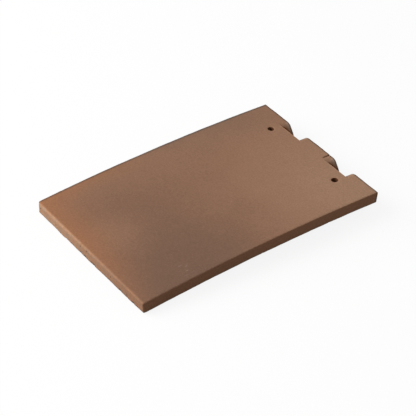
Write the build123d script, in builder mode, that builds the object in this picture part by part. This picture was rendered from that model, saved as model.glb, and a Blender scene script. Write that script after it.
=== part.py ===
from build123d import *
import os
from math import asin, atan, cos, degrees, radians, sin, tan

# A plain clay roof tile: one fired slab, cambered along its length, with two nibs pressed
# down out of its head and two nail holes punched beside them. It lies top face up on a level
# floor, on the lower edge of its tail and the tips of its nibs. +Y points to the head,
# +Z is up, and the origin is on the floor below the middle of the tile.

# Slab
tile_length = 265.0         # straight across the camber, tail edge to head edge of the top face
tile_width = 165.0
thickness = 12.0
camber_rise = 4.2           # height of the top face at mid-length over the line between its ends
top_arris_round = 1.2       # upright corners, round the top face and the front of the recesses
low_arris_round = 0.6       # round the underside and the front of the nibs

# Nibs, each a tongue of the head sheared off along its back and pressed down
nib_spacing = 67.4          # centre to centre
nib_drop = 10.5             # how far each nib stands below the underside
nib_length = 14.0           # along the tile, from the head face to the face that meets the batten
nib_tip_width = 15.0
ramp_angle = 48.5           # slope of all pressed flanks, from the face
nib_corner_round = 3.0      # between the flanks and the face that meets the batten
nib_tip_round = 1.5
nib_root_round = 3.0

# Recesses that the press leaves in the top face over the nibs
recess_depth = 10.5
recess_length = 10.8        # along the tile, from the head face to the sheared back wall
recess_floor_width = 8.2
recess_floor_round = 3.0
recess_shoulder_round = 8.0

# Nail holes
nail_hole_diameter = 6.0
nail_hole_spacing = 94.0
nail_hole_from_head = 22.5
nail_hole_lip_round = 0.6

# The camber is an arc about an axis that runs across, far below the tile
camber_radius = (tile_length / 2) ** 2 / (2 * camber_rise) + camber_rise / 2
underside_radius = camber_radius - thickness
end_angle = degrees(asin(tile_length / 2 / camber_radius))

# At rest the nibs hold the head up, which leans the tile back until the nib tips are level
# with the lower edge of the tail
rest_tilt = degrees(atan(nib_drop / ((2 * underside_radius - nib_drop) * tan(radians(end_angle)))))
tail_angle = radians(end_angle + rest_tilt)
head_angle = radians(end_angle - rest_tilt)
camber_centre = (
    0,
    camber_radius * (sin(tail_angle) - sin(head_angle)) / 2,
    -underside_radius * cos(tail_angle),
)
camber_axis = Axis(camber_centre, (1, 0, 0))


def turn(distance):
    """Angle about the camber axis that covers a distance along the top face."""
    return degrees(distance / camber_radius)


def face_plane(from_head):
    """Plane that touches the top face at a distance from the head, with its normal out of the face."""
    lean = turn(from_head) - degrees(head_angle)
    return Plane(camber_centre).rotated((lean, 0, 0)).offset(camber_radius)


# Section plane at the head: X across the tile, Y out of the top face, Z towards the tail
head_face = face_plane(0)
head_section = Plane(head_face.origin, x_dir=head_face.x_dir, z_dir=-head_face.y_dir)

# Both profiles of the pressed clay are drawn from a level face at Y 0, and close above it
ramp_run = 1 / tan(radians(ramp_angle))
profile_top = thickness / 2
nib_root_width = nib_tip_width + 2 * nib_drop * ramp_run
recess_top_width = recess_floor_width + 2 * (recess_depth + profile_top) * ramp_run

with BuildSketch() as nib_profile:
    with BuildLine():
        Polyline(
            (-nib_root_width / 2, profile_top), (-nib_root_width / 2, 0),
            (-nib_tip_width / 2, -nib_drop), (nib_tip_width / 2, -nib_drop),
            (nib_root_width / 2, 0), (nib_root_width / 2, profile_top),
            close=True,
        )
    make_face()

with BuildSketch() as recess_profile:
    with BuildLine():
        Polyline(
            (-recess_top_width / 2, profile_top), (-recess_floor_width / 2, -recess_depth),
            (recess_floor_width / 2, -recess_depth), (recess_top_width / 2, profile_top),
            close=True,
        )
    make_face()

with BuildPart() as roof_tile:
    # Cambered slab, swept back from the head about the camber axis
    with BuildSketch(head_section):
        Rectangle(tile_width, thickness, align=(Align.CENTER, Align.MAX))
    revolve(axis=camber_axis, revolution_arc=2 * end_angle)

    # Nibs below the head
    with BuildSketch(head_section):
        with Locations((0, -thickness)):
            with GridLocations(nib_spacing, 0, 2, 1):
                add(nib_profile.sketch)
    revolve(axis=camber_axis, revolution_arc=turn(nib_length))

    # Their upright corners, then their tips, then their roots
    batten_faces = roof_tile.faces(Select.LAST).filter_by(GeomType.PLANE).group_by(Axis.Y)[0]
    fillet(batten_faces.edges().filter_by(Axis.X, reverse=True), nib_corner_round)
    tips = roof_tile.faces().filter_by(GeomType.CYLINDER).sort_by(Axis.Z)[:2]
    fillet([edge for tip in tips for edge in tip.edges().sort_by(Axis.Y)[:-1]], nib_tip_round)
    underside = roof_tile.faces().sort_by(SortBy.AREA)[-2:].sort_by(Axis.Z)[0]
    fillet(underside.edges().sort_by(Axis.Y)[3:-3], nib_root_round)

    # Recesses above the nibs, rounded along the feet and the shoulders of their ramps
    with BuildSketch(head_section):
        with GridLocations(nib_spacing, 0, 2, 1):
            add(recess_profile.sketch)
    revolve(axis=camber_axis, revolution_arc=turn(recess_length), mode=Mode.SUBTRACT)
    ramp_edges = roof_tile.edges(Select.LAST).filter_by(GeomType.CIRCLE).group_by(Axis.Z)
    fillet(ramp_edges[0], recess_floor_round)
    fillet(ramp_edges[-1], recess_shoulder_round)

    # Upright corners of the slab and the arrises of the top face, which run on over the
    # recesses, then the arrises of the underside, which run on under the nibs
    corners = roof_tile.edges().filter_by(GeomType.LINE).group_by(Axis.X)
    top_face = roof_tile.faces().sort_by(SortBy.AREA)[-2:].sort_by(Axis.Z)[1]
    sides = top_face.edges().group_by(Axis.X)
    ends = top_face.edges().group_by(Axis.Y)
    fillet(corners[0] + corners[-1] + sides[0] + sides[-1] + ends[0] + ends[-1], top_arris_round)
    underside = roof_tile.faces().sort_by(SortBy.AREA)[-2:].sort_by(Axis.Z)[0]
    fillet(underside.edges().sort_by(SortBy.LENGTH)[-2:], low_arris_round)

    # Nail holes, square to the face, with a soft lip on top
    with Locations(face_plane(nail_hole_from_head)):
        with GridLocations(nail_hole_spacing, 0, 2, 1):
            Hole(nail_hole_diameter / 2)
    hole_walls = roof_tile.faces(Select.LAST).sort_by(SortBy.AREA)[:2]
    fillet(hole_walls.edges().group_by(Axis.Z)[-1], nail_hole_lip_round)

roof_tile.part.label = "roof_tile"

os.makedirs("parts", exist_ok=True)
export_step(roof_tile.part, "parts/roof_tile.step")
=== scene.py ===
"""A plain clay roof tile, dressed over its CAD frame: worn arrises, torn and pressed clay, and the kiln's flashing."""

from math import asin, atan, cos, radians, sin, tan

import bmesh
import bpy
import numpy as np
from bpy.props import FloatProperty, FloatVectorProperty, IntProperty, PointerProperty
from mathutils import Matrix, Vector


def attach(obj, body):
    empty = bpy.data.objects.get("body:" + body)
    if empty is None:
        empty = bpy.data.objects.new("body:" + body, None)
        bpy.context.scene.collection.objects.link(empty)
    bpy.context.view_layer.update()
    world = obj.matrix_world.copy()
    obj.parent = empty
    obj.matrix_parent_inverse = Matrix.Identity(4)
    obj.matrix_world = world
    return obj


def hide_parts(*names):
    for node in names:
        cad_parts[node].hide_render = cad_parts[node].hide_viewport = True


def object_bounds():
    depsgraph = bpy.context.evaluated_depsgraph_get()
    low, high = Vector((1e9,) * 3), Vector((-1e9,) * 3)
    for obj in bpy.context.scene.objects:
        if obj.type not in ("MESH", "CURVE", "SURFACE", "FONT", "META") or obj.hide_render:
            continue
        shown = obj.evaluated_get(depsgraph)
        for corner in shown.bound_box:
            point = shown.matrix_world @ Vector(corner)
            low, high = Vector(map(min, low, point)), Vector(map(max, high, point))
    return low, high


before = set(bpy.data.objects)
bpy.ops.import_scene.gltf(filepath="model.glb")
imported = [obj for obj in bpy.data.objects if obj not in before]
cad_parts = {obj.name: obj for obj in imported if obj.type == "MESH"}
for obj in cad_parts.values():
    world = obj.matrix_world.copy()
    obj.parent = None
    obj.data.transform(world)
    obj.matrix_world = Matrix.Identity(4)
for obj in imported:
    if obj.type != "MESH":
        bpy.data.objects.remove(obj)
CAD_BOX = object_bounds()

bl_info = {
    "name": "Clay Roof Tile",
    "version": (1, 0, 0),
    "blender": (4, 5, 0),
    "location": "View3D > Sidebar > Roof Tile",
    "description": "Dresses a cambered clay roof tile with worn arrises, torn clay and kiln flashing",
    "category": "Object",
}

NODE = "roof_tile"
MM = 0.001

# Sizes of the solid, in metres
LENGTH = 265 * MM
WIDTH = 165 * MM
THICKNESS = 12 * MM
CAMBER_RISE = 4.2 * MM
NIB_SPACING = 67.4 * MM
NIB_DROP = 10.5 * MM
RECESS_LENGTH = 10.8 * MM
RECESS_MOUTH = 26.8 * MM
HOLE_RADIUS = 3 * MM
HOLE_SPACING = 94 * MM
HOLE_FROM_HEAD = 22.5 * MM

# The camber axis, about which the solid is swept, and the lean that its nibs give it at rest
CAMBER_RADIUS = (LENGTH / 2) ** 2 / (2 * CAMBER_RISE) + CAMBER_RISE / 2
UNDERSIDE_RADIUS = CAMBER_RADIUS - THICKNESS
HALF_ANGLE = asin(LENGTH / 2 / CAMBER_RADIUS)
REST_LEAN = atan(NIB_DROP / ((2 * UNDERSIDE_RADIUS - NIB_DROP) * tan(HALF_ANGLE)))
AXIS_Y = CAMBER_RADIUS * (sin(HALF_ANGLE + REST_LEAN) - sin(HALF_ANGLE - REST_LEAN)) / 2
AXIS_Z = -UNDERSIDE_RADIUS * cos(HALF_ANGLE + REST_LEAN)
HALF_ARC = CAMBER_RADIUS * HALF_ANGLE

ACROSS, ALONG, UP = 0, 1, 2


class RoofTileShape(bpy.types.PropertyGroup):
    """Sizes of the wear and tear that the clay gets over its solid"""

    cell: FloatProperty(
        name="Cell", description="Size of a mesh cell on the faces", default=1.83 * MM,
        min=0.8 * MM, unit="LENGTH")
    edge_cell: FloatProperty(
        name="Edge Cell", description="Size of a mesh cell at the tail and in the recesses",
        default=0.458 * MM, min=0.3 * MM, unit="LENGTH")
    arris_wear: FloatProperty(
        name="Arris Wear", description="How far the arrises are rubbed down", default=0.28 * MM,
        min=0.0, unit="LENGTH")
    tail_round: FloatProperty(
        name="Tail Rounding", description="Radius to which the top arris of the tail is worn",
        default=2.6 * MM, min=0.5 * MM, unit="LENGTH")
    corner_round: FloatProperty(
        name="Corner Rounding", description="Radius to which the left corner of the tail is worn",
        default=5.4 * MM, min=0.5 * MM, unit="LENGTH")
    head_skew: FloatProperty(
        name="Head Skew", description="How much shorter the tile is along its left side",
        default=1.0 * MM, min=0.0, unit="LENGTH")
    tail_cut_back: FloatProperty(
        name="Tail Cut Back", description="How far the lower edge of the tail is torn up at its ends",
        default=1.0 * MM, min=0.0, unit="LENGTH")
    face_waviness: FloatProperty(
        name="Face Waviness", description="Depth of the slow waves in the pressed faces",
        default=0.10 * MM, min=0.0, unit="LENGTH")
    drag_depth: FloatProperty(
        name="Drag Depth", description="Depth of the drag lines along the underside",
        default=0.16 * MM, min=0.0, unit="LENGTH")
    tear_depth: FloatProperty(
        name="Tear Depth", description="Roughness of the sheared back walls of the recesses",
        default=0.38 * MM, min=0.0, unit="LENGTH")
    slit_depth: FloatProperty(
        name="Slit Depth", description="Depth of the shear slit beside the right recess",
        default=1.3 * MM, min=0.0, unit="LENGTH")
    seed: IntProperty(name="Seed", description="Starts the clay's random wear", default=7, min=0)


def colour_property(name, description, default):
    """Colour setting of the finish."""
    return FloatVectorProperty(
        name=name, description=description, default=default, subtype="COLOR", size=3,
        min=0.0, max=1.0)


class RoofTileFinish(bpy.types.PropertyGroup):
    """Colours of the fired clay"""

    warm: colour_property("Warm Brown", "Face towards the head", (0.296, 0.157, 0.093))
    # Partly painted sheen: a pale zone at the right of the head, over the kiln's tone.
    pale: colour_property("Pale Brown", "Right part of the head", (0.358, 0.205, 0.128))
    dusk: colour_property("Dusky Brown", "Reduced zone across the tail half", (0.217, 0.116, 0.073))
    deep: colour_property("Deep Brown", "Most reduced zone, at the right of the tail", (0.168, 0.094, 0.063))
    orange: colour_property("Flash Orange", "Oxidised zone at the left of the tail", (0.350, 0.152, 0.071))
    smoke: colour_property("Smoke Grey", "Smoked patch on the left edge", (0.150, 0.112, 0.088))
    tan: colour_property("Cut Tan", "Cut clay of the tail, the head and the sides", (0.410, 0.232, 0.136))
    # Painted shade: the right side is given a darker brown than the other cut faces, as it faces away from the lamp.
    shade: colour_property("Side Brown", "Cut clay of the right side", (0.222, 0.104, 0.053))
    bed: colour_property("Bed Brown", "Sanded underside", (0.300, 0.165, 0.105))
    # Torn clay colour, also painted shade in the nail holes, the slit and the tail pits.
    core: colour_property("Core Brown", "Torn clay in the recesses and the nail holes", (0.150, 0.055, 0.022))


class RoofTileStage(bpy.types.PropertyGroup):
    """Camera, lamp and floor"""

    azimuth: FloatProperty(
        name="Azimuth", description="Camera direction round the tile", default=radians(49.729),
        subtype="ANGLE", unit="ROTATION")
    elevation: FloatProperty(
        name="Elevation", description="Camera direction above the floor", default=radians(38.189),
        subtype="ANGLE", unit="ROTATION")
    roll: FloatProperty(
        name="Roll", description="Turn of the picture", default=radians(5.024),
        subtype="ANGLE", unit="ROTATION")
    distance: FloatProperty(
        name="Distance", description="From the camera to the point it aims at", default=1.6374,
        unit="LENGTH")
    lens: FloatProperty(
        name="Focal Length", description="Focal length in mm on a sensor 36 mm wide", default=156.21,
        min=10.0)
    aim: FloatVectorProperty(
        name="Aim", description="Point in the middle of the picture",
        default=(0.00470, -0.00425, 0.00917), subtype="TRANSLATION", size=3)
    key_power: FloatProperty(
        name="Key Power", description="Power of the large lamp at the left of the tail",
        default=86.5, unit="POWER")
    ambient: FloatProperty(
        name="Ambient", description="Level of the light from all round", default=0.36, min=0.0)
    floor_shade: FloatProperty(
        name="Floor Shade", description="How much of the floor's shading the camera sees",
        default=0.12, min=0.0, max=1.0)


class ClayNoise:
    """Smooth seeded noise between -1 and 1, from a block of random values."""

    SIDE = 32

    def __init__(self, seed):
        self.block = np.random.default_rng(seed).uniform(-1.0, 1.0, (self.SIDE,) * 3)

    def __call__(self, places, grain):
        scaled = places / np.asarray(grain, float)
        base = np.floor(scaled).astype(int)
        part = scaled - base
        part = part * part * (3.0 - 2.0 * part)
        total = np.zeros(len(places))
        for corner in np.ndindex(2, 2, 2):
            near = np.array(corner)
            weight = np.prod(np.where(near == 1, part, 1.0 - part), axis=1)
            index = (base + near) % self.SIDE
            total += weight * self.block[index[:, 0], index[:, 1], index[:, 2]]
        return total


def smooth_step(low, high, value):
    """0 below low, 1 above high, and a smooth rise between."""
    part = np.clip((value - low) / (high - low), 0.0, 1.0)
    return part * part * (3.0 - 2.0 * part)


def unroll(points):
    """Points as distances across, along the arc and out of the top face, where the slab is a box."""
    y = points[:, 1] - AXIS_Y
    z = points[:, 2] - AXIS_Z
    along = CAMBER_RADIUS * (np.arctan2(y, z) + REST_LEAN)
    return np.stack([points[:, 0], along, np.hypot(y, z) - CAMBER_RADIUS], 1)


def roll_up(places):
    """Unrolled places put back on the camber."""
    angle = places[:, 1] / CAMBER_RADIUS - REST_LEAN
    radius = CAMBER_RADIUS + places[:, 2]
    return np.stack(
        [places[:, 0], AXIS_Y + radius * np.sin(angle), AXIS_Z + radius * np.cos(angle)], 1)


def read_points(mesh):
    """The mesh's vertices as an array."""
    flat = np.empty(len(mesh.vertices) * 3, np.float32)
    mesh.vertices.foreach_get("co", flat)
    return flat.reshape(-1, 3).astype(float)


def span(face, axis):
    """Lowest and highest place of a face along an axis."""
    values = [vert.co[axis] for vert in face.verts]
    return min(values), max(values)


def slice_faces(form, faces, axis, cuts):
    """Cuts faces by planes square to an axis, in rising order, each plane through what it crosses."""
    slack = 0.02 * MM
    normal = Vector((0.0, 0.0, 0.0))
    normal[axis] = 1.0
    waiting = sorted(((*span(face, axis), face.index, face) for face in faces), key=lambda f: f[:3])
    active = []
    taken = 0
    for cut in cuts:
        while taken < len(waiting) and waiting[taken][0] < cut - slack:
            active.append((waiting[taken][1], waiting[taken][3]))
            taken += 1
        crossed = [face for high, face in active if high > cut + slack]
        if not crossed:
            active = []
            continue
        parts = set(crossed)
        for face in crossed:
            parts.update(face.edges)
            parts.update(face.verts)
        result = bmesh.ops.bisect_plane(
            form, geom=list(parts), dist=slack, plane_co=normal * cut, plane_no=normal)
        active = []
        for part in result["geom"]:
            if isinstance(part, bmesh.types.BMFace):
                high = span(part, axis)[1]
                if high > cut + slack:
                    active.append((high, part))
    form.faces.ensure_lookup_table()
    form.faces.index_update()


def cuts_between(low, high, step):
    """Evenly spaced cuts, none on the ends."""
    count = max(int(round((high - low) / step)), 1)
    return [low + (high - low) * i / count for i in range(1, count)]


def middle(face):
    """Middle of a face, counted from its corners."""
    return face.calc_center_median()


def cut_clay(form, shape):
    """Cuts the unrolled solid into small cells, finest where the clay is torn."""
    half_width = WIDTH / 2
    tail, head = -HALF_ARC, HALF_ARC
    tail_band = tail + 5 * MM
    head_band = head - RECESS_LENGTH - 2 * MM
    fine_cuts = cuts_between(-half_width, half_width, shape.edge_cell)
    step = max(round(shape.cell / shape.edge_cell), 1)
    end_cuts = cuts_between(tail, tail_band, 0.6 * MM) + [tail_band, head_band]
    slice_faces(form, form.faces, ALONG, end_cuts + cuts_between(head_band, head, 1.0 * MM))

    at_tail = [face for face in form.faces if middle(face)[ALONG] < tail + 3 * MM]
    slice_faces(form, at_tail, ACROSS, fine_cuts)
    recess_back = head - RECESS_LENGTH
    backs = [
        face for face in form.faces
        if face.normal[ALONG] > 0.9 and abs(middle(face)[ALONG] - recess_back) < 0.5 * MM]
    slice_faces(form, backs, ACROSS, fine_cuts)
    slit = [
        face for face in form.faces
        if middle(face)[ALONG] > head - 12 * MM and middle(face)[UP] > -3 * MM]
    slit_cuts = [SLIT_PLACE + SLIT_HALF_WIDTH * f for f in range(-3, 6)]
    slice_faces(form, slit, ACROSS, slit_cuts)
    walls = [
        face for face in form.faces
        if abs(face.normal[UP]) < 0.5 and -THICKNESS < middle(face)[UP] < 0.0]
    slice_faces(form, walls, UP, cuts_between(-THICKNESS, 0.0, 0.8 * MM))
    slice_faces(form, form.faces, ACROSS, fine_cuts[step - 1::step])
    slice_faces(form, form.faces, ALONG, cuts_between(tail_band, head_band, shape.cell))


SLIT_PLACE = 13.7 * MM
SLIT_HALF_WIDTH = 0.33 * MM
SLIT_LENGTH = 10.4 * MM
SLIT_LEAN = -0.05

# Side of each recess, and how far across the press set it off its mark, in mm
RECESS_SHIFTS = ((-1, 1.8), (1, 1.1))

# Lower edge of the tail: how much of the cut back each place has, from left to right
TAIL_EDGE = (
    (-82.5, 1.00), (-70.0, 0.80), (-58.0, 0.70), (-47.0, 0.62), (-43.0, 0.32), (-40.0, 0.05),
    (-38.0, 0.15), (-36.0, 0.95), (-31.0, 0.50), (-24.0, 0.15), (-10.0, 0.05), (62.0, 0.0),
    (74.0, 0.15), (82.5, 0.55),
)
# Chips out of it: place across, depth and half width, in mm
TAIL_CHIPS = (
    (-26.5, 0.4, 1.4), (-12.6, 1.0, 1.2), (-5.7, 1.0, 1.4), (4.5, 0.9, 1.3), (8.2, 1.1, 1.5),
    (31.0, 0.3, 1.6), (48.0, 1.1, 1.7), (58.0, 0.3, 1.2), (67.5, 1.0, 1.6),
)
# Pits in the tail face: place across, depth below the top face and radius, in mm
TAIL_PITS = (
    (-76.0, 4.2, 0.60), (-12.5, 3.4, 0.65), (-2.5, 2.6, 0.85), (-52.0, 7.4, 0.50), (34.0, 6.0, 0.60),
    (58.0, 8.6, 0.60),
)


def arris_closeness(places, reach):
    """How near each place is to an outer arris, from 0 to 1, for the top and the lower arrises."""
    inset = np.minimum(WIDTH / 2 - np.abs(places[:, ACROSS]), HALF_ARC - np.abs(places[:, ALONG]))
    side = 1.0 - smooth_step(0.0, reach, inset)
    top = side * (1.0 - smooth_step(0.0, reach, -places[:, UP]))
    low = side * (1.0 - smooth_step(0.0, reach, np.abs(places[:, UP] + THICKNESS)))
    return top, low


def recess_closeness(places):
    """1 on the sheared back walls of the recesses, and 0 away from them."""
    out = np.abs(np.abs(places[:, ACROSS]) - NIB_SPACING / 2)
    back = np.abs(places[:, ALONG] - (HALF_ARC - RECESS_LENGTH)) < 0.12 * MM
    return (back & (out < RECESS_MOUTH / 2 + 3 * MM) & (places[:, UP] < -0.15 * MM)).astype(float)


def ramp_masks(places, noise):
    """Dark torn clay and painted shadow along the back of the ramps, and the pale lip along their front."""
    out = np.abs(np.abs(places[:, ACROSS]) - NIB_SPACING / 2)
    from_back = places[:, ALONG] - (HALF_ARC - RECESS_LENGTH)
    ramp = (from_back > -0.1 * MM) & (out < RECESS_MOUTH / 2 + 4 * MM) & (places[:, UP] < -0.1 * MM)
    ramp &= places[:, UP] > -11 * MM
    width = 1.5 * MM - 1.0 * places[:, UP] + 0.7 * MM * noise(places, 2.8 * MM)
    ramp_tear_and_shadow = ramp * (1.0 - smooth_step(0.8 * width, 1.25 * width, from_back))
    ramp_tear_and_shadow *= smooth_step(0.8 * MM, 2.0 * MM, -places[:, UP])
    lip = 1.0 - smooth_step(3.0 * MM, 5.5 * MM, RECESS_LENGTH - from_back)
    lip *= smooth_step(1.2 * MM, 1.9 * MM, RECESS_LENGTH - from_back) * ramp
    return ramp_tear_and_shadow, lip * smooth_step(-5.0 * MM, -2.0 * MM, places[:, UP])


def hole_distance(places):
    """Distance from the axis of the nearest nail hole."""
    along = places[:, ALONG] - (HALF_ARC - HOLE_FROM_HEAD)
    return np.hypot(np.abs(places[:, ACROSS]) - HOLE_SPACING / 2, along)


def round_off(inset, depth, radius):
    """Insets from two faces, with the edge between the faces worn to a radius."""
    over_inset = np.clip(radius - inset, 0.0, None)
    over_depth = np.clip(radius - depth, 0.0, None)
    reach = np.hypot(over_inset, over_depth)
    outside = (over_inset > 0.0) & (over_depth > 0.0) & (reach > radius)
    scale = np.where(outside, radius / np.maximum(reach, 1e-9), 1.0)
    inset = np.where(outside, radius - over_inset * scale, inset)
    depth = np.where(outside, radius - over_depth * scale, depth)
    return inset, depth


def settle_clay(places, shape, noise):
    """Moves the places as handling and cutting leave the whole tile: worn tail, skew head, set recesses."""
    moved = places.copy()
    above_bed = np.clip(1.0 + moved[:, UP] / THICKNESS, 0.0, 1.0)
    radius = shape.tail_round * (1.0 + 0.14 * noise(places * (1, 0, 0), 13 * MM))
    radius *= 1.05 - 0.45 * smooth_step(-60 * MM, 70 * MM, places[:, ACROSS])
    inset, depth = round_off(moved[:, ALONG] + HALF_ARC, -moved[:, UP], radius)
    moved[:, ALONG] = inset - HALF_ARC
    moved[:, UP] = -depth
    radius = shape.corner_round * (0.8 + 0.2 * above_bed)
    inset, left = round_off(moved[:, ALONG] + HALF_ARC, moved[:, ACROSS] + WIDTH / 2, radius)
    moved[:, ALONG] = inset - HALF_ARC
    moved[:, ACROSS] = left - WIDTH / 2

    from_head = HALF_ARC - places[:, ALONG]
    at_head = 1.0 - smooth_step(RECESS_LENGTH + 1 * MM, RECESS_LENGTH + 20 * MM, from_head)
    moved[:, ALONG] -= (0.3 * MM + shape.head_skew * (0.5 - places[:, ACROSS] / WIDTH)) * at_head
    near_recess = 1.0 - smooth_step(RECESS_LENGTH + 0.5 * MM, RECESS_LENGTH + 8 * MM, from_head)
    near_recess *= smooth_step(-15 * MM, -7 * MM, places[:, UP])
    for side, shift in RECESS_SHIFTS:
        out = np.abs(places[:, ACROSS] - side * NIB_SPACING / 2)
        moved[:, ACROSS] += shift * MM * near_recess * (1.0 - smooth_step(14 * MM, 26 * MM, out))
    return moved


def weather_clay(places, normals, shape):
    """Moves the unrolled places as pressing, wire and kiln leave the clay. Returns them and the masks."""
    noise = ClayNoise(shape.seed)
    fine = ClayNoise(shape.seed + 1)
    moved = settle_clay(places, shape, noise)
    top_arris, low_arris = arris_closeness(places, 2.4 * MM)
    arris = np.maximum(top_arris, low_arris)
    up_facing = smooth_step(0.6, 0.95, normals[:, UP])
    down_facing = smooth_step(0.6, 0.95, -normals[:, UP])
    hole = hole_distance(places)
    in_hole = ((hole < HOLE_RADIUS + 0.1 * MM) & (np.abs(normals[:, UP]) < 0.8)).astype(float)
    torn_and_shade = recess_closeness(places)

    # Rubbed arrises, slow waves and a fine unevenness, all into the clay
    rub = 0.55 + 0.45 * noise(places, 11 * MM) + 0.25 * fine(places, 3.5 * MM)
    chips = np.clip(fine(places, 2.4 * MM) - 0.62, 0.0, 1.0) * 3.0
    inward = shape.arris_wear * arris * (np.clip(rub, 0.0, 1.5) + low_arris * chips)
    inward += shape.face_waviness * (0.5 + 0.5 * noise(places, (60 * MM, 85 * MM, 60 * MM))) * up_facing
    inward += 0.035 * MM * (0.5 + 0.5 * fine(places, 2.1 * MM))

    # Drag lines of the extruder along the underside, with sand pressed in between them
    drag = 0.5 + 0.5 * noise(places, (3.2 * MM, 95 * MM, 40 * MM))
    drag = 0.65 * drag + 0.35 * (0.5 + 0.5 * fine(places, (1.7 * MM, 30 * MM, 40 * MM)))
    inward += shape.drag_depth * down_facing * drag
    inward *= 1.0 - in_hole
    moved -= normals * inward[:, None]

    # The cut faces keep the wire's shallow strokes
    wire = noise(places, (5.5 * MM, 5.5 * MM, 2.6 * MM)) * (1.0 - np.abs(normals[:, UP]))
    moved -= normals * (0.05 * MM * (0.5 + 0.5 * wire) * (1.0 - torn_and_shade) * (1.0 - in_hole))[:, None]

    # Torn back walls, rough hole walls, and a burr where each punch came out below
    tear = 0.7 * fine(places, 1.6 * MM) + 0.5 * noise(places, 3.4 * MM)
    moved[:, ALONG] += shape.tear_depth * torn_and_shade * tear
    ring = np.exp(-(((hole - HOLE_RADIUS - 0.9 * MM) / (0.75 * MM)) ** 2))
    below = (np.abs(places[:, UP] + THICKNESS) < 0.5 * MM) & (hole > HOLE_RADIUS - 0.2 * MM)
    moved[:, UP] -= 0.45 * MM * ring * below * (0.75 + 0.5 * fine(places, 1.5 * MM))
    dish = np.exp(-(((hole - HOLE_RADIUS) / (2.6 * MM)) ** 2)) * (hole > HOLE_RADIUS - 0.2 * MM)
    moved[:, UP] -= 0.16 * MM * dish * (places[:, UP] > -0.8 * MM)
    worn = np.exp(-(((hole - HOLE_RADIUS) / (1.9 * MM)) ** 2)) * (hole < HOLE_RADIUS + 5 * MM)
    worn *= smooth_step(-3 * MM, -0.5 * MM, places[:, UP])
    towards_tail = smooth_step(1 * MM, -2.5 * MM, places[:, ALONG] - (HALF_ARC - HOLE_FROM_HEAD))
    worn *= towards_tail * np.where(places[:, ACROSS] > 0.0, 1.0, 0.5)
    moved[:, ALONG] -= 1.0 * MM * worn

    # Lower edge of the tail, torn up by the wire
    wanted, share = np.array(TAIL_EDGE).T
    lift = shape.tail_cut_back * np.interp(places[:, ACROSS], wanted * MM, share)
    lift += 0.05 * MM * (noise(places * (1, 0, 0), 2.3 * MM) + fine(places * (1, 0, 0), 0.9 * MM))
    nick = np.zeros(len(places))
    for place, depth, half_width in TAIL_CHIPS:
        nick += depth * np.exp(-(((places[:, ACROSS] - place * MM) / (half_width * MM)) ** 2))
    lift += 0.6 * MM * nick
    near_tail = 1.0 - smooth_step(0.0, 4.5 * MM, places[:, ALONG] + HALF_ARC)
    near_low = 1.0 - smooth_step(0.4 * MM, 4.0 * MM, places[:, UP] + THICKNESS)
    moved[:, UP] += np.clip(lift, 0.0, None) * near_tail * near_low
    # Painted shadow: the nicks in the lower tail edge get a near-black mark for the shade under the ragged edge.
    nick *= (1.0 - smooth_step(1.2 * MM, 4.0 * MM, places[:, UP] + THICKNESS)) * near_tail
    pitted = np.zeros(len(places))
    for place, depth, radius in TAIL_PITS:
        reach = np.hypot(places[:, ACROSS] - place * MM, places[:, UP] + depth * MM)
        pit = np.exp(-((reach / (radius * MM)) ** 2)) * (places[:, ALONG] < -HALF_ARC + 2 * MM)
        moved[:, ALONG] += 0.7 * MM * pit
        pitted += pit

    # The shear slit beside the right recess, and the lip that sank behind it
    from_head = HALF_ARC - places[:, ALONG]
    off = places[:, ACROSS] - SLIT_PLACE + SLIT_LEAN * from_head
    groove = np.clip(1.0 - np.abs(off) / (2 * SLIT_HALF_WIDTH), 0.0, 1.0)
    groove *= 1.0 - smooth_step(SLIT_LENGTH * 0.75, SLIT_LENGTH, from_head)
    groove *= places[:, UP] > -2.2 * MM
    moved[:, UP] -= shape.slit_depth * groove
    sunk = smooth_step(0.0, 2 * SLIT_HALF_WIDTH, off) * (1.0 - smooth_step(4 * MM, 8 * MM, off))
    sunk *= (1.0 - smooth_step(SLIT_LENGTH * 0.5, SLIT_LENGTH, from_head)) * (places[:, UP] > -2.2 * MM)
    moved[:, UP] -= 0.35 * MM * sunk

    ramp_tear_and_shadow, lip = ramp_masks(places, fine)
    from_tail = places[:, ALONG] + HALF_ARC
    at_edge = smooth_step(0.6 * MM, 2.6 * MM, from_tail) * (1.0 - smooth_step(0.2 * MM, 1.5 * MM, -places[:, UP]))
    skin = np.where(from_tail < 4 * MM, at_edge, up_facing)
    # Far arrises, on the left side and the head: a smoke line on the left edge, and painted shade along these edges.
    far_inset = np.minimum(places[:, ACROSS] + WIDTH / 2, HALF_ARC - places[:, ALONG])
    far_arris = 1.0 - smooth_step(1.3 * MM, 2.7 * MM, far_inset)
    masks = {
        "arris": top_arris,
        "nick_shadow": np.clip(1.3 * nick, 0.0, 1.0),
        "low_arris": low_arris,
        "far_arris": far_arris,
        # Torn clay on the recess back walls, and painted shade in the nail holes, the slit and the tail pits.
        "torn_and_shade": np.clip(np.maximum(torn_and_shade, in_hole) + 0.85 * groove + pitted, 0.0, 1.0),
        "ramp_tear_and_shadow": ramp_tear_and_shadow,
        "lip": lip,
        "face_up": skin,
        "face_down": down_facing,
    }
    return moved, masks


def keep_in_box(points):
    """Points held inside the box of the solid, so that the tile keeps its size."""
    low, high = (np.array(corner) for corner in CAD_BOX)
    return np.clip(points, low, high)


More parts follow.
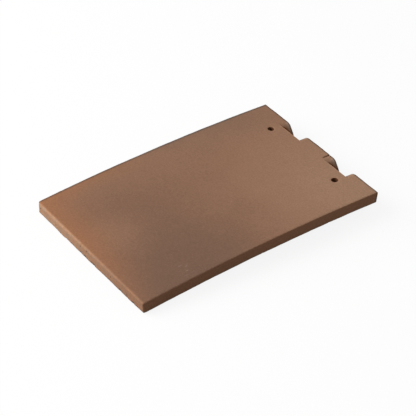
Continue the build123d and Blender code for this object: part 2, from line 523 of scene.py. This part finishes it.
def build_tile_mesh(shape):
    """The tile's mesh: the solid unrolled, cut small, weathered and rolled back."""
    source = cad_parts[NODE].data
    form = bmesh.new()
    form.from_mesh(source)
    form.verts.ensure_lookup_table()
    flat = unroll(np.array([vert.co for vert in form.verts], float))
    for vert, place in zip(form.verts, flat):
        vert.co = place
    bmesh.ops.remove_doubles(form, verts=form.verts, dist=0.002 * MM)
    bmesh.ops.dissolve_limit(
        form, angle_limit=radians(0.2), verts=form.verts, edges=form.edges, use_dissolve_boundaries=False)
    form.normal_update()
    form.faces.index_update()
    cut_clay(form, shape)
    bmesh.ops.triangulate(form, faces=form.faces)
    form.normal_update()
    mesh = bpy.data.meshes.new("weathered_tile")
    form.to_mesh(mesh)
    form.free()

    places = read_points(mesh)
    flat_normals = np.empty(len(mesh.vertices) * 3, np.float32)
    mesh.vertex_normals.foreach_get("vector", flat_normals)
    moved, masks = weather_clay(places, flat_normals.reshape(-1, 3).astype(float), shape)
    points = keep_in_box(roll_up(moved))
    mesh.vertices.foreach_set("co", points.astype(np.float32).ravel())
    for name, values in masks.items():
        layer = mesh.attributes.new(name, "FLOAT", "POINT")
        layer.data.foreach_set("value", values.astype(np.float32))
    mesh.polygons.foreach_set("use_smooth", [True] * len(mesh.polygons))
    mesh.set_sharp_from_angle(angle=radians(42))
    mesh.update()
    return mesh


class NodeSheet:
    """Small helper that places and links nodes in a material or a node group."""

    def __init__(self, tree):
        self.tree = tree
        self.column = 0

    def add(self, kind, inputs=None, **settings):
        node = self.tree.nodes.new(kind)
        node.location = (self.column * 190, -(self.column % 5) * 130)
        self.column += 1
        for key, value in settings.items():
            setattr(node, key, value)
        for key, value in (inputs or {}).items():
            socket = node.inputs[key]
            if isinstance(value, bpy.types.NodeSocket):
                self.tree.links.new(value, socket)
            else:
                socket.default_value = value
        return node

    def link(self, source, target):
        self.tree.links.new(source, target)

    def math(self, operation, first, second=0.0, clamp=False):
        return self.add(
            "ShaderNodeMath", {0: first, 1: second}, operation=operation, use_clamp=clamp).outputs[0]

    def mask(self, name):
        return self.add("ShaderNodeAttribute", attribute_name=name).outputs["Fac"]

    def noise(self, vector, scale, detail=2.0, roughness=0.5):
        return self.add("ShaderNodeTexNoise", {
            "Vector": vector, "Scale": scale, "Detail": detail, "Roughness": roughness,
        }).outputs["Fac"]

    def range(self, value, low, high, to_low=0.0, to_high=1.0):
        return self.add("ShaderNodeMapRange", {
            "Value": value, "From Min": low, "From Max": high, "To Min": to_low, "To Max": to_high,
        }, interpolation_type="SMOOTHSTEP").outputs["Result"]

    def mix(self, factor, first, second, blend="MIX"):
        node = self.add("ShaderNodeMix", data_type="RGBA", blend_type=blend)
        for index, value in ((0, factor), (6, first), (7, second)):
            if isinstance(value, bpy.types.NodeSocket):
                self.tree.links.new(value, node.inputs[index])
            else:
                node.inputs[index].default_value = value
        return node.outputs[2]

    def patch(self, vector, centre, reach):
        """Soft round or long patch: 1 at its centre, and 0 from its reach outwards."""
        moved = self.add("ShaderNodeVectorMath", {0: vector, 1: centre}, operation="SUBTRACT").outputs[0]
        scaled = self.add("ShaderNodeVectorMath", {0: moved, 1: reach}, operation="DIVIDE").outputs[0]
        length = self.add("ShaderNodeVectorMath", {0: scaled}, operation="LENGTH").outputs["Value"]
        return self.range(length, 0.0, 1.0, 1.0, 0.0)


def new_group(name, inputs, outputs):
    """Empty shader node group with named sockets. Returns its sheet, its input node and its output node."""
    tree = bpy.data.node_groups.new(name, "ShaderNodeTree")
    for label, kind, default in inputs:
        socket = tree.interface.new_socket(label, in_out="INPUT", socket_type=kind)
        if default is not None:
            socket.default_value = default
    for label, kind in outputs:
        tree.interface.new_socket(label, in_out="OUTPUT", socket_type=kind)
    sheet = NodeSheet(tree)
    return sheet, sheet.add("NodeGroupInput"), sheet.add("NodeGroupOutput")


FLOAT, VECTOR, COLOUR = "NodeSocketFloat", "NodeSocketVector", "NodeSocketColor"


def opaque(colour):
    """Colour with full alpha."""
    return (*colour, 1.0)


def make_grain_group():
    """Clay grain: sand and pores as a height, and the tint and the specks that go with them."""
    sheet, source, target = new_group(
        "clay_grain",
        [("Vector", VECTOR, None), ("Size", FLOAT, 1.0), ("Coarseness", FLOAT, 0.5)],
        [("Height", FLOAT), ("Tint", FLOAT), ("Pale Specks", FLOAT), ("Dark Specks", FLOAT)])
    place = sheet.add(
        "ShaderNodeVectorMath", {0: source.outputs["Vector"], "Scale": source.outputs["Size"]},
        operation="SCALE").outputs[0]
    sand = sheet.noise(place, 1500.0, 3.0, 0.6)
    lumps = sheet.noise(place, 420.0, 2.0, 0.5)
    height = sheet.add("ShaderNodeMix", {
        0: source.outputs["Coarseness"], 2: sand, 3: lumps}, data_type="FLOAT").outputs[0]
    pores = sheet.add("ShaderNodeTexVoronoi", {"Vector": place, "Scale": 560.0, "Randomness": 1.0})
    pore = sheet.range(pores.outputs["Distance"], 0.06, 0.20, 1.0, 0.0)
    chance = sheet.add("ShaderNodeSeparateColor", {0: pores.outputs["Color"]}).outputs
    dark = sheet.math("MULTIPLY", pore, sheet.range(chance[0], 0.80, 0.86))
    pale = sheet.math("MULTIPLY", pore, sheet.range(chance[1], 0.84, 0.90))
    height = sheet.math("SUBTRACT", height, sheet.math("MULTIPLY", dark, 0.6))
    sheet.link(height, target.inputs["Height"])
    sheet.link(sheet.noise(place, 620.0, 3.0, 0.65), target.inputs["Tint"])
    sheet.link(pale, target.inputs["Pale Specks"])
    sheet.link(dark, target.inputs["Dark Specks"])
    return sheet.tree


def make_mottle_group():
    """Clay mottle: cloudy light and dark of a few millimetres to a few centimetres."""
    sheet, source, target = new_group(
        "clay_mottle", [("Vector", VECTOR, None), ("Strength", FLOAT, 0.1)],
        [("Shade", FLOAT)])
    clouds = sheet.noise(source.outputs["Vector"], 38.0, 3.0, 0.55)
    blots = sheet.noise(source.outputs["Vector"], 170.0, 2.0, 0.5)
    both = sheet.math("ADD", sheet.math("MULTIPLY", clouds, 1.2), sheet.math("MULTIPLY", blots, 0.8))
    centred = sheet.math("SUBTRACT", both, 1.0)
    shade = sheet.math("ADD", sheet.math("MULTIPLY", centred, source.outputs["Strength"]), 1.0)
    sheet.link(shade, target.inputs["Shade"])
    return sheet.tree


def make_arris_breakup_group():
    """Breaks an arris mask up, so that it is thin in places and bare in others: the worn top arrises, and the painted
    shade of the lower arrises.
    """
    sheet, source, target = new_group(
        "arris_breakup", [("Vector", VECTOR, None), ("Arris", FLOAT, 0.0), ("Spread", FLOAT, 0.5)],
        [("Rub", FLOAT)])
    break_up = sheet.noise(source.outputs["Vector"], 260.0, 3.0, 0.6)
    worn = sheet.math("ADD", source.outputs["Arris"], sheet.math("MULTIPLY", break_up, 0.5))
    start = sheet.math("SUBTRACT", 1.0, source.outputs["Spread"])
    rub = sheet.add("ShaderNodeMapRange", {
        "Value": worn, "From Min": start, "From Max": sheet.math("ADD", start, 0.55)},
        interpolation_type="SMOOTHSTEP").outputs["Result"]
    sheet.link(rub, target.inputs["Rub"])
    return sheet.tree


# Patches of the kiln's flash over the face, one over the other: colour, strength, centre and reach. The pale patch at
# the right of the head is partly painted sheen over the kiln's tone.
FLASH_PATCHES = (
    ("Pale", 1.0, (0.070, 0.115, 0.0), (0.160, 0.115, 1.0)),
    ("Deep", 0.75, (0.110, -0.078, 0.0), (0.150, 0.094, 1.0)),
    ("Warm", 0.60, (-0.005, -0.096, 0.0), (0.050, 0.038, 1.0)),
    ("Warm", 0.60, (-0.085, -0.050, 0.0), (0.065, 0.130, 1.0)),
    ("Smoke", 0.25, (-0.080, 0.075, 0.0), (0.050, 0.100, 1.0)),
    ("Smoke", 0.60, (-0.092, 0.040, 0.0), (0.024, 0.080, 1.0)),
    ("Orange", 0.85, (-0.110, -0.165, 0.0), (0.230, 0.100, 1.0)),
    ("Orange", 0.70, (-0.095, -0.095, 0.0), (0.038, 0.085, 1.0)),
    ("Orange", 0.90, (-0.050, -0.150, 0.0), (0.190, 0.060, 1.0)),
)


def make_flash_group(finish):
    """Kiln flashing of the top face, from orange at the tail through dusky brown to warm brown."""
    sheet, source, target = new_group(
        "kiln_flash",
        [("Vector", VECTOR, None)] + [
            (name.capitalize(), COLOUR, opaque(getattr(finish, name)))
            for name in ("warm", "pale", "dusk", "deep", "orange", "smoke")],
        [("Color", COLOUR)])
    vector = source.outputs["Vector"]
    drift = sheet.add("ShaderNodeTexNoise", {"Vector": vector, "Scale": 11.0, "Detail": 2.0}).outputs["Color"]
    drift = sheet.add("ShaderNodeVectorMath", {0: drift, 1: (0.5, 0.5, 0.5)}, operation="SUBTRACT").outputs[0]
    drift = sheet.add("ShaderNodeVectorMath", {0: drift, "Scale": 0.05}, operation="SCALE").outputs[0]
    place = sheet.add("ShaderNodeVectorMath", {0: vector, 1: drift}, operation="ADD").outputs[0]
    part = sheet.add("ShaderNodeSeparateXYZ", {0: place}).outputs
    warmth = sheet.range(part["Y"], -0.090, 0.078)
    colour = sheet.mix(warmth, source.outputs["Dusk"], source.outputs["Warm"])
    for name, strength, centre, reach in FLASH_PATCHES:
        patch = sheet.patch(place, centre, reach)
        colour = sheet.mix(sheet.math("MULTIPLY", patch, strength), colour, source.outputs[name])
    sheet.link(colour, target.inputs["Color"])
    return sheet.tree


def shaded(sheet, colour, shade):
    """Colour times a grey shade."""
    grey = sheet.add("ShaderNodeCombineColor", {0: shade, 1: shade, 2: shade}).outputs[0]
    return sheet.mix(1.0, colour, grey, "MULTIPLY")


def make_clay_material(finish):
    """Fired clay of the pressed and cut faces."""
    groups = {
        "grain": make_grain_group(), "mottle": make_mottle_group(), "rub": make_arris_breakup_group(),
        "flash": make_flash_group(finish)}
    material = bpy.data.materials.new("flashed_clay")
    material.use_nodes = True
    sheet = NodeSheet(material.node_tree)
    shader = material.node_tree.nodes["Principled BSDF"]
    place = sheet.add("ShaderNodeTexCoord").outputs["Object"]

    def group(name, **inputs):
        node = sheet.add("ShaderNodeGroup")
        node.node_tree = groups[name]
        for key, value in inputs.items():
            socket = node.inputs[key.replace("_", " ")]
            if isinstance(value, bpy.types.NodeSocket):
                sheet.link(value, socket)
            else:
                socket.default_value = value
        return node.outputs

    grain = group("grain", Vector=place, Size=1.0, Coarseness=0.35)
    mottle = group("mottle", Vector=place, Strength=0.10)["Shade"]
    flash = group("flash", Vector=place)["Color"]

    # Cut faces: tan clay, a little darker to the right, under the flashed skin of the top face
    part = sheet.add("ShaderNodeSeparateXYZ", {0: place}).outputs
    cut = sheet.mix(
        sheet.range(part["X"], -0.085, 0.085), opaque(finish.tan),
        sheet.mix(1.0, opaque(finish.tan), opaque([0.70, 0.63, 0.61]), "MULTIPLY"))
    blotch = sheet.range(sheet.noise(place, 210.0, 3.0, 0.6), 0.40, 0.65)
    cut = sheet.mix(sheet.math("MULTIPLY", blotch, 0.30), cut, opaque(finish.orange))
    shift = sheet.add("ShaderNodeVectorMath", {0: place, 1: (0.3, 0.1, 0.2)}, operation="ADD").outputs[0]
    grey = sheet.range(sheet.noise(shift, 260.0, 3.0, 0.6), 0.46, 0.70)
    greyer = sheet.mix(1.0, cut, opaque([0.84, 0.98, 1.16]), "MULTIPLY")
    cut = sheet.mix(grey, cut, greyer)
    # The right side: a darker brown than the other cut faces, which is painted shade as it faces away from the lamp;
    # lighter towards the head.
    side_shade = sheet.range(part["X"], 0.0800, 0.0822)
    side = shaded(sheet, opaque(finish.shade), sheet.range(part["Y"], -0.13, 0.13, 0.95, 1.09))
    cut = sheet.mix(side_shade, cut, side)
    colour = sheet.mix(sheet.mask("face_up"), cut, flash)
    colour = sheet.mix(sheet.mask("face_down"), colour, opaque(finish.bed))

    rub = group("rub", Vector=place, Arris=sheet.mask("arris"), Spread=0.45)["Rub"]
    paler = sheet.mix(1.0, colour, opaque([1.22, 1.24, 1.30]), "MULTIPLY")
    colour = sheet.mix(sheet.math("MULTIPLY", rub, 0.15), colour, paler)
    # Painted shade: the lower arrises, which face down, are darkened.
    low_arris_shade = group("rub", Vector=place, Arris=sheet.mask("low_arris"), Spread=0.6)["Rub"]
    darker = sheet.mix(1.0, colour, opaque([0.62, 0.56, 0.54]), "MULTIPLY")
    colour = sheet.mix(sheet.math("MULTIPLY", low_arris_shade, 0.7), colour, darker)
    # Smoke line on the left edge, and painted shade along the far arrises.
    smoke_and_edge_shade = sheet.mix(1.0, colour, opaque([0.36, 0.45, 0.57]), "MULTIPLY")
    colour = sheet.mix(sheet.math("MULTIPLY", sheet.mask("far_arris"), 0.9), colour, smoke_and_edge_shade)
    colour = sheet.mix(sheet.math("MULTIPLY", sheet.mask("lip"), 0.6), colour, opaque([0.42, 0.29, 0.22]))
    # Painted shadow with torn clay: dark brown along the back of the ramps, where the top face's edge shades them.
    colour = sheet.mix(sheet.mask("ramp_tear_and_shadow"), colour, opaque([0.170, 0.050, 0.010]))
    # Torn clay colour; in the nail holes, the slit and the pits it is painted shade.
    colour = sheet.mix(sheet.mask("torn_and_shade"), colour, opaque(finish.core))
    # Painted shadow under the nicks of the lower tail edge.
    colour = sheet.mix(sheet.mask("nick_shadow"), colour, opaque([0.055, 0.028, 0.016]))

    tint = sheet.range(grain["Tint"], 0.25, 0.75, 0.90, 1.10)
    colour = shaded(sheet, colour, sheet.math("MULTIPLY", tint, mottle))
    scuff = sheet.patch(place, (0.069, -0.079, 0.015), (0.013, 0.009, 1.0))
    stroke = sheet.add(
        "ShaderNodeVectorMath", {0: place, 1: (520.0, 130.0, 1.0)}, operation="MULTIPLY").outputs[0]
    scuff = sheet.math("MULTIPLY", scuff, sheet.range(sheet.noise(stroke, 1.0), 0.55, 0.70))
    colour = sheet.mix(sheet.math("MULTIPLY", scuff, 0.6), colour, opaque([0.36, 0.27, 0.22]))
    colour = sheet.mix(
        sheet.math("MULTIPLY", grain["Pale Specks"], 0.42), colour, opaque([0.52, 0.36, 0.25]))
    colour = sheet.mix(
        sheet.math("MULTIPLY", grain["Dark Specks"], 0.5), colour, opaque([0.09, 0.05, 0.035]))
    sheet.link(colour, shader.inputs["Base Color"])

    roughness = sheet.range(grain["Height"], 0.2, 0.8, 0.72, 0.92)
    sheet.link(roughness, shader.inputs["Roughness"])
    shader.inputs["Specular IOR Level"].default_value = 0.2
    bump = sheet.add("ShaderNodeBump", {
        "Strength": 0.55, "Distance": 0.12 * MM, "Height": grain["Height"]})
    sheet.link(bump.outputs["Normal"], shader.inputs["Normal"])
    return material


class ROOFTILE_OT_form_tile(bpy.types.Operator):
    """Builds the weathered clay tile over its solid"""

    bl_idname = "rooftile.form_tile"
    bl_label = "Form Clay Tile"

    def execute(self, context):
        mesh = build_tile_mesh(context.scene.roof_tile_shape)
        mesh.materials.append(make_clay_material(context.scene.roof_tile_finish))
        tile = bpy.data.objects.new("clay_tile", mesh)
        context.scene.collection.objects.link(tile)
        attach(tile, "root")
        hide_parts(NODE)
        self.report({"INFO"}, f"{len(mesh.polygons)} triangles")
        print("clay tile:", len(mesh.vertices), "points,", len(mesh.polygons), "triangles")
        return {"FINISHED"}


def make_floor(settings):
    """Pale floor that the camera sees as white, apart from the tile's soft shadow."""
    form = bmesh.new()
    bmesh.ops.create_grid(form, x_segments=8, y_segments=8, size=4.0)
    mesh = bpy.data.meshes.new("studio_floor")
    form.to_mesh(mesh)
    form.free()
    floor = bpy.data.objects.new("studio_floor", mesh)
    material = bpy.data.materials.new("pale_floor")
    material.use_nodes = True
    tree = material.node_tree
    tree.nodes.clear()
    sheet = NodeSheet(tree)
    matt = sheet.add("ShaderNodeBsdfDiffuse", {"Color": opaque([0.5, 0.5, 0.5])}).outputs[0]
    seen = sheet.add("ShaderNodeBsdfDiffuse", {"Color": opaque([0.98, 0.98, 0.98])}).outputs[0]
    white = sheet.add("ShaderNodeEmission", {"Color": opaque([1.0, 1.0, 1.0]), "Strength": 1.0}).outputs[0]
    path = sheet.add("ShaderNodeLightPath").outputs
    direct = sheet.math("MAXIMUM", path["Is Camera Ray"], path["Is Glossy Ray"])
    shown = sheet.add("ShaderNodeMixShader", {0: settings.floor_shade, 1: white, 2: seen}).outputs[0]
    surface = sheet.add("ShaderNodeMixShader", {0: direct, 1: matt, 2: shown}).outputs[0]
    clear = sheet.add("ShaderNodeBsdfTransparent").outputs[0]
    behind = sheet.add("ShaderNodeNewGeometry").outputs["Backfacing"]
    hidden = sheet.math("MULTIPLY", behind, path["Is Camera Ray"])
    final = sheet.add("ShaderNodeMixShader", {0: hidden, 1: surface, 2: clear}).outputs[0]
    sheet.add("ShaderNodeOutputMaterial", {"Surface": final})
    mesh.materials.append(material)
    return floor


def make_world(settings):
    """Even pale light from all round, white where the camera sees it."""
    world = bpy.data.worlds.new("studio_world")
    world.use_nodes = True
    tree = world.node_tree
    tree.nodes.clear()
    sheet = NodeSheet(tree)
    path = sheet.add("ShaderNodeLightPath").outputs
    glow = sheet.add("ShaderNodeBackground", {
        "Color": opaque([1.0, 1.0, 1.0]), "Strength": settings.ambient}).outputs[0]
    white = sheet.add("ShaderNodeBackground", {
        "Color": opaque([1.0, 1.0, 1.0]), "Strength": 1.0}).outputs[0]
    shown = sheet.add("ShaderNodeMixShader", {0: path["Is Camera Ray"], 1: glow, 2: white}).outputs[0]
    sheet.add("ShaderNodeOutputWorld", {"Surface": shown})
    return world


def add_lamp(context, name, place, size, power):
    """Square area lamp that faces the tile."""
    lamp = bpy.data.lights.new(name, "AREA")
    lamp.shape = "SQUARE"
    lamp.size = size
    lamp.energy = power
    holder = bpy.data.objects.new(name, lamp)
    holder.location = place
    holder.rotation_mode = "QUATERNION"
    holder.rotation_quaternion = (Vector((0.0, 0.0, 0.01)) - Vector(place)).to_track_quat("-Z", "Y")
    context.scene.collection.objects.link(holder)


def add_camera(context, settings):
    """Camera at the photograph's angle."""
    azimuth, elevation = settings.azimuth, settings.elevation
    back = Vector((
        sin(azimuth) * cos(elevation), -cos(azimuth) * cos(elevation), sin(elevation)))
    right = Vector((cos(azimuth), sin(azimuth), 0.0))
    up = back.cross(right)
    turn = settings.roll
    rolled_right = right * cos(turn) + up * sin(turn)
    rolled_up = up * cos(turn) - right * sin(turn)
    lens = bpy.data.cameras.new("photo_camera")
    lens.sensor_width = 36.0
    lens.lens = settings.lens
    lens.clip_start = 0.05
    lens.clip_end = 50.0
    camera = bpy.data.objects.new("photo_camera", lens)
    facing = Matrix((rolled_right, rolled_up, back)).transposed()
    camera.rotation_mode = "QUATERNION"
    camera.rotation_quaternion = facing.to_quaternion()
    camera.location = Vector(settings.aim) + back * settings.distance
    context.scene.collection.objects.link(camera)
    context.scene.camera = camera


class ROOFTILE_OT_set_stage(bpy.types.Operator):
    """Sets up the floor, the lamp, the world and the camera"""

    bl_idname = "rooftile.set_stage"
    bl_label = "Set Stage"

    def execute(self, context):
        settings = context.scene.roof_tile_stage
        floor = make_floor(settings)
        context.scene.collection.objects.link(floor)
        context.scene.world = make_world(settings)
        add_lamp(context, "key_lamp", (-1.30, -1.75, 1.45), 2.2, settings.key_power)
        add_camera(context, settings)
        context.scene.view_settings.view_transform = "Standard"
        return {"FINISHED"}


class ROOFTILE_PT_panel(bpy.types.Panel):
    """Settings and steps of the clay roof tile"""

    bl_idname = "ROOFTILE_PT_panel"
    bl_label = "Clay Roof Tile"
    bl_space_type = "VIEW_3D"
    bl_region_type = "UI"
    bl_category = "Roof Tile"

    def draw(self, context):
        layout = self.layout
        for group, operator in (
            (context.scene.roof_tile_shape, None),
            (context.scene.roof_tile_finish, "rooftile.form_tile"),
            (context.scene.roof_tile_stage, "rooftile.set_stage"),
        ):
            box = layout.box()
            for name in group.__annotations__:
                box.prop(group, name)
            if operator:
                box.operator(operator)


CLASSES = (
    RoofTileShape, RoofTileFinish, RoofTileStage,
    ROOFTILE_OT_form_tile, ROOFTILE_OT_set_stage, ROOFTILE_PT_panel,
)
SETTINGS = {
    "roof_tile_shape": RoofTileShape,
    "roof_tile_finish": RoofTileFinish,
    "roof_tile_stage": RoofTileStage,
}


def register():
    """Registers the classes and their settings."""
    for cls in CLASSES:
        bpy.utils.register_class(cls)
    for name, cls in SETTINGS.items():
        setattr(bpy.types.Scene, name, PointerProperty(type=cls))


def unregister():
    """Removes the settings and the classes."""
    for name in SETTINGS:
        delattr(bpy.types.Scene, name)
    for cls in reversed(CLASSES):
        bpy.utils.unregister_class(cls)


def main():
    """Runs the steps in order."""
    register()
    bpy.ops.rooftile.form_tile()
    bpy.ops.rooftile.set_stage()


if __name__ == "__main__":
    main()
